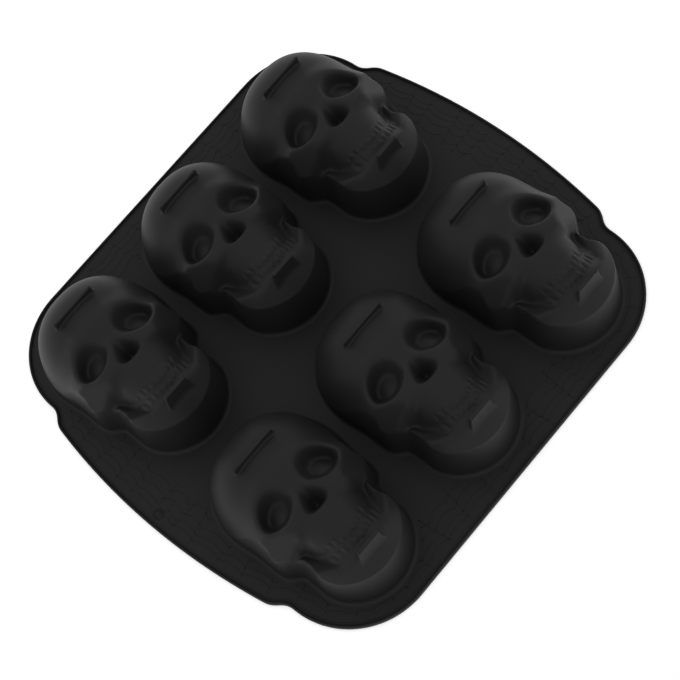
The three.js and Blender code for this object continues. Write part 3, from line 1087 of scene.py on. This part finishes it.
@dataclass
class SkullCup:
    """Thin-walled cup: the skull outside, the cake's hollow inside, and the fillet round its foot."""

    relief: SkullRelief
    # cells across and along; the outside has twice as many border points as the inside
    grid: tuple[int, int] = (110, 170)
    inner_grid: tuple[int, int] = (54, 86)
    crowding: float = 1.1
    centre_y: float = -1.6
    # strip of the outside next to the outline that is made of rows round the cup
    wall_reach: float = 2.6
    wall_rows: int = 14
    fillet: float = 2.2
    fillet_rows: int = 6
    inner_rows: int = 9
    inner_foot: float = 0.05
    mouth_round: float = 0.6
    mouth_rows: int = 4

    def foot_loop(self) -> np.ndarray:
        """Gives the loop where the fillet runs out on the sheet."""
        return inset(self.relief.footprint.loop(2 * sum(self.grid)), -self.fillet)

    def build(self) -> bpy.types.Mesh:
        """Builds the cup.

        Returns:
            Its closed mesh, with the skull's middle at the origin and the sheet's underside at Z = 0.
        """
        form = Form()
        outer, inner = self._outside(form), self._inside(form)
        step = len(outer) // len(inner)
        for i, ends in enumerate(zip(inner, np.roll(inner, -1))):
            arc = np.take(outer, range(step * i, step * i + step + 1), mode="wrap")
            form.faces += as_faces([np.concatenate([ends, arc[::-1]])])
        return form.mesh("skull_shell")

    def _outside(self, form: Form) -> np.ndarray:
        """Adds the skull, its side wall, the fillet and the foot's upright edge.

        Args:
            form: The mesh in the making.

        Returns:
            Numbers of the lowest row of points.
        """
        relief = self.relief
        outline = relief.footprint.loop(2 * sum(self.grid))
        flat, cells, rim = self._fill(self.grid, inset(outline, self.wall_reach))
        x, y = flat[:, 0], flat[:, 1]
        row = form.add(flat, SHEET + relief.height(x, y) + relief.teeth.height(x, y))[rim]
        form.faces += as_faces(cells)
        foot = self.fillet / relief.wall.steepness
        depths = np.linspace(self.wall_reach, foot, self.wall_rows + 1)[1:]
        loops = [inset(outline, depth) for depth in depths]
        levels = [
            relief.height(loop[:, 0], loop[:, 1], np.full(len(loop), depth))
            for loop, depth in zip(loops, depths)
        ]
        rows = [(loop, SHEET + level) for loop, level in zip(loops, levels)]
        # the fillet goes on from the height at which the side wall ends
        for angle in np.linspace(math.pi / 2, 0, self.fillet_rows + 1)[1:]:
            loop = inset(outline, self.fillet * (math.sin(angle) - 1) + foot * math.sin(angle))
            rows.append((loop, SHEET + levels[-1] * (1 - math.cos(angle))))
        rows.append((rows[-1][0], np.zeros(len(outline))))
        for loop, level in rows:
            above, row = row, form.add(loop, level)
            form.faces += ring_faces(row, above)
        form.creases += [above, row]
        return row

    def _inside(self, form: Form) -> np.ndarray:
        """Adds the cake's hollow and its rounded mouth.

        Args:
            form: The mesh in the making.

        Returns:
            Numbers of the lowest row of points.
        """
        inside = InnerRelief(self.relief)
        mouth = self.relief.footprint.loop(2 * sum(self.inner_grid))
        flat, cells, rim = self._fill(self.inner_grid, inset(mouth, inside.thickness + self.wall_reach))
        numbers = form.add(flat, SHEET + inside.height(flat[:, 0], flat[:, 1]))
        form.faces += as_faces(numbers[cells[:, ::-1]])
        row = numbers[rim]
        rows: list[tuple[np.ndarray, np.ndarray | float]] = []
        for depth in np.linspace(self.wall_reach, self.inner_foot, self.inner_rows + 1)[1:]:
            loop = inset(mouth, inside.thickness + depth)
            z = np.maximum(inside.height(loop[:, 0], loop[:, 1]), -SHEET / 2)
            rows.append((loop, SHEET + z))
        for angle in np.linspace(0, math.pi / 2, self.mouth_rows):
            loop = inset(mouth, inside.thickness - self.mouth_round * (1 - math.cos(angle)))
            rows.append((loop, self.mouth_round * (1 - math.sin(angle))))
        for loop, level in rows:
            above, row = row, form.add(loop, level)
            form.faces += ring_faces(above, row)
        return row

    def _fill(self, grid: tuple[int, int], border: np.ndarray) -> tuple[np.ndarray, np.ndarray, np.ndarray]:
        """Fills a closed border with a grid that is bent to it.

        Args:
            grid: Cells across and along, both even.
            border: As many points as the grid has round its edge, from the middle of the low side on.

        Returns:
            The grid's points, the point numbers of its cells, and those of its edge in the border's order.
        """
        nu, nv = grid
        u, v = np.meshgrid(np.linspace(-1, 1, nu + 1), np.linspace(-1, 1, nv + 1), indexing="ij")
        s = np.maximum(np.maximum(np.abs(u), np.abs(v)), 1e-9)
        low = v <= -s + 1e-9
        right = (u >= s - 1e-9) & ~low
        high = (v >= s - 1e-9) & ~right & ~low
        turn = np.select(
            [low, right, high],
            [
                u / s * nu / 2,
                nu / 2 + (v / s + 1) / 2 * nv,
                nu / 2 + nv + (1 - u / s) / 2 * nu,
            ],
            nu * 1.5 + nv + (1 - v / s) / 2 * nv,
        )
        turn = np.mod(turn, len(border))
        whole = np.floor(turn + 1e-7)
        first, part = whole.astype(int) % len(border), (turn - whole)[..., None]
        edge = border[first] * (1 - part) + border[(first + 1) % len(border)] * part
        centre = np.array([0, self.centre_y])
        points = centre + (edge - centre) * (s**self.crowding)[..., None]
        points[nu // 2, nv // 2] = centre
        numbers = np.arange((nu + 1) * (nv + 1)).reshape(nu + 1, nv + 1)
        cells = np.stack([numbers[:-1, :-1], numbers[1:, :-1], numbers[1:, 1:], numbers[:-1, 1:]], -1)
        rim = np.concatenate([
            numbers[nu // 2 : -1, 0],
            numbers[-1, :-1],
            numbers[:0:-1, -1],
            numbers[0, :0:-1],
            numbers[: nu // 2, 0],
        ])
        return points.reshape(-1, 2), cells.reshape(-1, 4), rim


@dataclass
class StandingRib:
    """Upright rib that the turned-over mould stands on, with a rounded top edge and a flared foot."""

    name: str
    region: Region
    y: float
    half_length: float
    thickness: float
    # how much further each end reaches at the root's depth below the top
    splay: float
    root: float = 14.0
    shaft_rows: tuple[float, ...] = (0.35, 0.7)
    edge_round: float = 0.45
    edge_rows: int = 5
    corner_round: float = 0.7
    corner_points: int = 5
    loop_points: int = 88
    # how far each row of the foot reaches out, and how high it lies over the skull
    flares: tuple[tuple[float, float], ...] = (
        (1.3, -0.6),
        (1.0, -0.02),
        (0.62, 0.12),
        (0.3, 0.36),
        (0.08, 0.8),
        (0.0, 1.3),
    )

    def build(self, relief: SkullRelief) -> bpy.types.Mesh:
        """Builds the rib.

        Args:
            relief: The skull that it stands on.

        Returns:
            Its mesh, in the cup's own place.
        """
        rows: list[tuple[np.ndarray, np.ndarray]] = []
        for flare, lift in self.flares:
            loop = self._loop(flare)
            below = STAND - SHEET - relief.height(loop[:, 0], loop[:, 1])
            spread = 1 + self.splay * below / self.root / self.half_length
            rows.append((loop, SHEET + relief.height(loop[:, 0] * spread, loop[:, 1]) + lift))
        base, level = rows[-1]
        for share in self.shaft_rows:
            rows.append((base, level + (STAND - self.edge_round - level) * share))
        for angle in np.linspace(0, math.pi / 2, self.edge_rows):
            loop = self._loop(-self.edge_round * (1 - math.cos(angle)))
            z = STAND - self.edge_round * (1 - math.sin(angle))
            rows.append((loop, np.full(len(loop), z)))
        form = Form()
        numbers = []
        for loop, z in rows:
            lean = (STAND - z) / self.root * self.splay
            share = np.minimum(np.abs(loop[:, 0]) / self.half_length, 1)
            splayed = np.stack([loop[:, 0] + np.sign(loop[:, 0]) * lean * share, loop[:, 1]], -1)
            numbers.append(form.add(splayed, z))
        for low, high in zip(numbers, numbers[1:]):
            form.faces += ring_faces(low, high)
        form.faces += as_faces([numbers[-1], numbers[0][::-1]])
        return form.mesh(self.name)

    def _loop(self, flare: float) -> np.ndarray:
        """Draws the outline of a bar with round corners.

        Args:
            flare: How much wider than the rib it is on all sides.

        Returns:
            The outline's points.
        """
        half_x, half_y = self.half_length + flare, self.thickness / 2 + flare
        corner = min(half_y * 0.9, self.corner_round + max(flare, 0))
        points = []
        for quarter, (sx, sy) in enumerate(((1, -1), (1, 1), (-1, 1), (-1, -1))):
            cx, cy = sx * (half_x - corner), self.y + sy * (half_y - corner)
            for turn in np.linspace(0, math.pi / 2, self.corner_points):
                angle = turn + (quarter - 1) * math.pi / 2
                points.append((cx + corner * math.cos(angle), cy + corner * math.sin(angle)))
        return even_points(np.array(points), self.loop_points)


@dataclass
class Tray:
    """Flat sheet with its bowed outline, beaded edge, injection mark and web lines."""

    half_x: float = 145.0
    half_y: float = 139.0
    side_margin: float = 22.2
    bow: float = 7.4
    lobe_margin: float = 7.8
    lobe_radius: float = 47.0
    step_length: float = 15.0
    step_bend: float = 1.4
    outline_points: int = 720
    bead_width: float = 3.3
    roll_width: float = 1.9
    # share of the roll's width at which its top lies, and how far the top rises over its sides
    roll_middle: float = 0.42
    roll_crown: float = 1.15
    bead_height: float = 3.2
    gate_radius: float = 3.8
    gate_x: float = -137.3
    gate_clear: float = 1.2
    circle_points: int = 48
    # the web's spokes stand 8 to 13 outline points apart and lean a little to either side
    web_seed: int = 11
    spoke_spacing: tuple[int, int] = (8, 14)
    spoke_points: int = 20
    spoke_start: float = 0.8
    spoke_reach: float = 26.0
    spoke_lean: float = 0.12
    # its strands hang between the spokes at these distances from the edge, and sag more further in
    strand_depths: tuple[float, ...] = (7.0, 10.5, 15.0, 20.5)
    strand_sag: float = 0.8
    strand_sag_share: float = 0.1
    strand_jitter: float = 0.4
    web_bead_clear: float = 0.6
    web_width: float = 0.8
    web_top_share: float = 0.55
    web_height: float = 0.12
    web_sink: float = 0.1

    def outline(self) -> np.ndarray:
        """Draws the sheet's outline.

        Returns:
            Evenly spaced points, counter-clockwise from the middle of the right side.
        """
        lobe_x = self.half_x - self.side_margin + self.lobe_margin
        lobe_y = self.half_y - self.lobe_radius
        step_y, middle_y = lobe_y - self.step_length, lobe_y - self.step_length / 2
        reach = QUARTER_ARC * self.lobe_radius
        centre_x = lobe_x - self.lobe_radius
        # the bowed side is a parabola, written as a cubic
        start, pull = np.array([self.half_x, 0.0]), np.array([self.half_x, step_y / 2])
        side = np.array([self.half_x - self.bow, step_y])
        bowed = [start, start / 3 + pull * 2 / 3, side / 3 + pull * 2 / 3, side]
        step = [side, (side[0] - self.step_bend, middle_y), (lobe_x, middle_y), (lobe_x, lobe_y)]
        lobe = [
            (lobe_x, lobe_y),
            (lobe_x, lobe_y + reach),
            (centre_x + reach, self.half_y),
            (centre_x, self.half_y),
        ]
        quarter = np.vstack([[start], bezier(bowed, 40), bezier(step, 24), bezier(lobe, 48)])
        half = np.vstack([quarter, quarter[::-1] * [-1, 1]])
        return even_points(np.vstack([half, half[1:-1][::-1] * [1, -1]]), self.outline_points)

    def gate_circle(self, radius: float) -> np.ndarray:
        """Draws a circle round the injection mark's middle."""
        turns = np.linspace(0, 2 * math.pi, self.circle_points + 1)[:-1]
        return np.stack([self.gate_x + radius * np.cos(turns), radius * np.sin(turns)], -1)

    def sheet(self, windows: list[np.ndarray]) -> bpy.types.Mesh:
        """Builds the flat sheet.

        Args:
            windows: Closed loops that it leaves open for the cups.

        Returns:
            Its mesh.
        """
        loops = [inset(self.outline(), self.bead_width), *windows, self.gate_circle(self.gate_radius)]
        ends = np.cumsum([0] + [len(loop) for loop in loops])
        rings = [np.arange(a, b) for a, b in zip(ends, ends[1:])]
        edges = [(int(a), int(b)) for ring in rings for a, b in zip(ring, np.roll(ring, -1))]
        filled = delaunay_2d_cdt([Vector(p) for p in np.vstack(loops)], edges, [], 0, 1e-6)
        flat, triangles = np.array([tuple(p) for p in filled[0]]), np.array(filled[2])
        middles = flat[triangles].mean(axis=1)
        keep = inside_loop(middles, loops[0])
        for loop in loops[1:]:
            keep &= ~inside_loop(middles, loop)
        triangles = triangles[keep]
        form = Form()
        top, bottom = form.add(flat, SHEET), form.add(flat, 0.0)
        form.faces += as_faces(top[triangles]) + as_faces(bottom[triangles[:, ::-1]])
        for ring in rings:
            order = ring if ring is rings[0] else ring[::-1]
            form.faces += ring_faces(bottom[order], top[order])
            form.creases += [ring, bottom[ring]]
        return form.mesh("tray_sheet")

    def bead(self) -> bpy.types.Mesh:
        """Builds the rounded bead along the edge, flat underneath.

        Returns:
            Its mesh.
        """
        w, crown = self.roll_width, self.roll_crown
        section = [(0.25, 0.0), (0.05, 0.25), (0.0, 0.8)]
        for angle in np.linspace(0, math.pi, 9):
            level = self.bead_height - crown + crown * math.sin(angle)
            section.append((w * self.roll_middle * (1 - math.cos(angle)), level))
        # a shallow groove and a low ridge run along inside the roll
        section += [
            (w * 0.93, SHEET - 0.25),
            (w + 0.3, SHEET - 0.2),
            (w + 0.55, SHEET + 0.28),
            (w + 0.9, SHEET + 0.3),
            (self.bead_width - 0.15, SHEET + 0.04),
            (self.bead_width, SHEET),
            (self.bead_width, 0.0),
        ]
        outline = self.outline()
        form = Form()
        rows = [form.add(inset(outline, distance), z) for distance, z in section]
        for low, high in zip(rows, rows[1:] + rows[:1]):
            form.faces += ring_faces(low, high)
        form.creases = [rows[0], rows[-1], rows[-2]]
        return form.mesh("edge_bead")

    def webs(self, windows: list[np.ndarray]) -> bpy.types.Mesh:
        """Builds the low spider-web lines that run along the border of the sheet.

        Args:
            windows: Closed loops round the cups, which the lines keep clear of.

        Returns:
            The mesh of all lines.
        """
        strands = self._strands(self.outline())
        flat = np.vstack(strands)
        free = inside_loop(flat, inset(self.outline(), self.bead_width + self.web_bead_clear))
        for window in [*windows, self.gate_circle(self.gate_radius + self.gate_clear)]:
            free &= ~inside_loop(flat, window)
        form = Form()
        seen = 0
        for strand in strands:
            open_here = free[seen : seen + len(strand)].astype(int)
            seen += len(strand)
            ends = np.flatnonzero(np.diff([0, *open_here, 0]))
            for start, stop in zip(ends[::2], ends[1::2]):
                if stop - start > 1:
                    self._bar(form, strand[start:stop])
        return form.mesh("web_lines")

    def _strands(self, outline: np.ndarray) -> list[np.ndarray]:
        """Lays the web's spokes and the strands that sag between them.

        Args:
            outline: The sheet's outline.

        Returns:
            The points of each line.
        """
        rng = np.random.default_rng(self.web_seed)
        inward = inset(outline, 1.0) - outline
        count, (least, most) = len(outline), self.spoke_spacing
        spokes = [0]
        while spokes[-1] < count - 2 * least:
            spokes.append(spokes[-1] + int(rng.integers(least, most)))
        strands: list[np.ndarray] = []
        reach = np.linspace(self.bead_width + self.spoke_start, self.spoke_reach, self.spoke_points)[:, None]
        for spoke in spokes:
            drift = np.roll(outline, -1, axis=0)[spoke] - outline[spoke]
            lean = drift * rng.uniform(-self.spoke_lean, self.spoke_lean)
            strands.append(outline[spoke] + inward[spoke] * reach + lean * reach)
        for depth in self.strand_depths:
            for a, b in zip(spokes, spokes[1:] + [count]):
                t = np.linspace(0, 1, b - a + 1)
                sag = (self.strand_sag_share * depth + self.strand_sag) * 4 * t * (1 - t)
                sag = depth + sag + rng.uniform(-self.strand_jitter, self.strand_jitter)
                along = np.arange(a, b + 1) % count
                strands.append(outline[along] + inward[along] * sag[:, None])
        return strands

    def _bar(self, form: Form, path: np.ndarray) -> None:
        """Adds one low closed bar, sunk a little into the sheet.

        Args:
            form: The mesh in the making.
            path: Points that the bar follows.
        """
        along = np.gradient(path, axis=0)
        across = np.stack([-along[:, 1], along[:, 0]], -1)
        across *= self.web_width / 2 / np.linalg.norm(across, axis=1)[:, None]
        top, low = (self.web_top_share, self.web_height), (1, -self.web_sink)
        section = (low, top, (-top[0], top[1]), (-low[0], low[1]))
        rows = np.array([form.add(path + share * across, SHEET + z) for share, z in section])
        form.faces += as_faces([rows[::-1, 0], rows[:, -1]])
        for a, b in zip(rows, np.roll(rows, -1, axis=0)):
            form.faces += as_faces(np.stack([b[:-1], b[1:], a[1:], a[:-1]], -1))

    def gate(self) -> bpy.types.Mesh:
        """Builds the injection mark: a disc with a ring groove and a small nub.

        Returns:
            Its mesh.
        """
        r = self.gate_radius
        disc = [(r, 0.0), (r, SHEET), (r * 0.92, SHEET)]
        groove = [
            (r * 0.86, SHEET - 0.1),
            (r * 0.8, SHEET - 0.5),
            (r * 0.7, SHEET - 0.6),
            (r * 0.6, SHEET - 0.55),
            (r * 0.53, SHEET - 0.1),
            (r * 0.45, SHEET),
        ]
        nub = [
            (1.15, SHEET),
            (1.0, SHEET + 0.1),
            (0.85, SHEET + 0.55),
            (0.55, SHEET + 0.7),
            (0.2, SHEET + 0.7),
        ]
        form = Form()
        rows = [form.add(self.gate_circle(radius), z) for radius, z in disc + groove + nub]
        for low, high in zip(rows, rows[1:]):
            form.faces += ring_faces(low, high)
        form.faces += as_faces([rows[-1], rows[0][::-1]])
        form.creases = [rows[0], rows[1]]
        return form.mesh("injection_mark")


@dataclass
class Mould:
    """The whole mould: the tray, and six equal cups with two ribs each."""

    material: bpy.types.Material
    columns: int = 3
    rows: int = 2
    pitch_x: float = 85.0
    pitch_y: float = 134.0
    middle_y: float = 0.2
    web_clear: float = 1.0

    def __post_init__(self) -> None:
        """Shapes the skull and lays out the cups, from the upper row's left end on."""
        self.cup = SkullCup(SkullRelief())
        self.cells = [
            (
                (column - (self.columns - 1) / 2) * self.pitch_x,
                self.middle_y + ((self.rows - 1) / 2 - row) * self.pitch_y,
            )
            for row in range(self.rows)
            for column in range(self.columns)
        ]

    def build_tray(self) -> None:
        """Builds the sheet with a window for each cup, the bead, the injection mark and the web lines."""
        tray, foot = Tray(), self.cup.foot_loop()
        clear = inset(foot, -self.web_clear)
        windows = [foot + cell for cell in self.cells]
        place("tray_sheet", tray.sheet(windows), self.material, Region.SHEET)
        place("edge_bead", tray.bead(), self.material, Region.BEAD)
        place("injection_mark", tray.gate(), self.material, Region.GATE)
        place("web_lines", tray.webs([clear + cell for cell in self.cells]), self.material, None)

    def build_cups(self) -> None:
        """Builds one cup and its ribs, and puts them in each cup's place."""
        ribs = (
            StandingRib("brow_rib", Region.BROW_RIB, y=27.9, half_length=14.2, thickness=1.5, splay=0.4),
            StandingRib("chin_rib", Region.CHIN_RIB, y=-50.3, half_length=7.4, thickness=2.2, splay=1.8),
        )
        shell = self.cup.build()
        rib_meshes = [rib.build(self.cup.relief) for rib in ribs]
        for number, cell in enumerate(self.cells, 1):
            place(f"skull_shell_{number}", shell, self.material, Region.CUP, number, cell)
            for rib, mesh in zip(ribs, rib_meshes):
                place(f"{rib.name}_{number}", mesh, self.material, rib.region, number, cell)


@dataclass
class Studio:
    """Paper floor, soft light from all round, and the camera at the photograph's angle."""

    azimuth: float = 22.125
    elevation: float = 63.839
    roll: float = -29.154
    distance: float = 930.0
    focal_pixels: float = 1723.0
    aim: tuple[float, float] = (-4.044, -12.779)
    sensor: float = 36.0
    floor_size: float = 6000.0
    floor_gap: float = 0.05
    # the tent's light at the horizon, and overhead from this height on
    horizon: tuple[float, float, float, float] = (0.85, 0.85, 0.85, 1)
    overhead: tuple[float, float, float, float] = (0.7, 0.7, 0.71, 1)
    overhead_from: float = 0.9

    def floor(self) -> None:
        """Lays the paper."""
        h = self.floor_size / 2
        form = Form()
        corners = form.add(np.array([(-h, -h), (h, -h), (h, h), (-h, h)]), -self.floor_gap)
        form.faces = as_faces([corners])
        mesh = form.mesh("paper_floor")
        mesh.materials.append(StudioPaper().build())
        floor = bpy.data.objects.new("paper_floor", mesh)
        bpy.context.scene.collection.objects.link(floor)
        log.info("paper_floor: laid")

    def light(self) -> None:
        """Lights the scene like a tent of diffusers, a little brighter round the horizon than overhead."""
        world = bpy.data.worlds.new("light tent")
        bpy.context.scene.world = world
        world.use_nodes = True
        tree = world.node_tree
        tree.nodes.clear()
        direction = add_node(tree, "ShaderNodeTexCoord")
        height = add_node(tree, "ShaderNodeSeparateXYZ", links={0: direction.outputs["Generated"]})
        ramp = add_node(tree, "ShaderNodeValToRGB", links={0: height.outputs["Z"]})
        low, high = ramp.color_ramp.elements
        low.position, low.color = 0.0, self.horizon
        high.position, high.color = self.overhead_from, self.overhead
        sky = add_node(tree, "ShaderNodeBackground", {"Strength": 1.0}, {"Color": ramp.outputs[0]})
        add_node(tree, "ShaderNodeOutputWorld", links={"Surface": sky.outputs[0]})

    def camera(self) -> None:
        """Sets the camera at the angle and distance that the photograph was taken from."""
        az, el, roll = (math.radians(v) for v in (self.azimuth, self.elevation, self.roll))
        forward = Vector((math.sin(az) * math.cos(el), math.cos(az) * math.cos(el), -math.sin(el)))
        right = Vector((math.cos(az), -math.sin(az), 0))
        up = right.cross(forward)
        across = right * math.cos(roll) + up * math.sin(roll)
        upright = up * math.cos(roll) - right * math.sin(roll)
        eye = (Vector((*self.aim, 0)) - forward * self.distance) * MM
        lens = bpy.data.cameras.new("studio camera")
        lens.sensor_width = self.sensor
        lens.lens = self.focal_pixels * self.sensor / PHOTO_PIXELS
        lens.clip_end = 100
        camera = bpy.data.objects.new("studio camera", lens)
        bpy.context.scene.collection.objects.link(camera)
        camera.matrix_world = Matrix((
            (across.x, upright.x, -forward.x, eye.x),
            (across.y, upright.y, -forward.y, eye.y),
            (across.z, upright.z, -forward.z, eye.z),
            (0, 0, 0, 1),
        ))
        bpy.context.scene.camera = camera

    def build(self) -> None:
        """Sets up floor, light, camera and view transform."""
        self.floor()
        self.light()
        self.camera()
        bpy.context.scene.view_settings.view_transform = "Standard"


def main() -> None:
    """Builds the studio and the mould round the frame."""
    logging.basicConfig(level=logging.INFO, format="%(name)s: %(message)s")
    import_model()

    Studio().build()
    mould = Mould(MouldedSilicone().build())
    mould.build_tray()
    mould.build_cups()


if __name__ == "__main__":
    main()
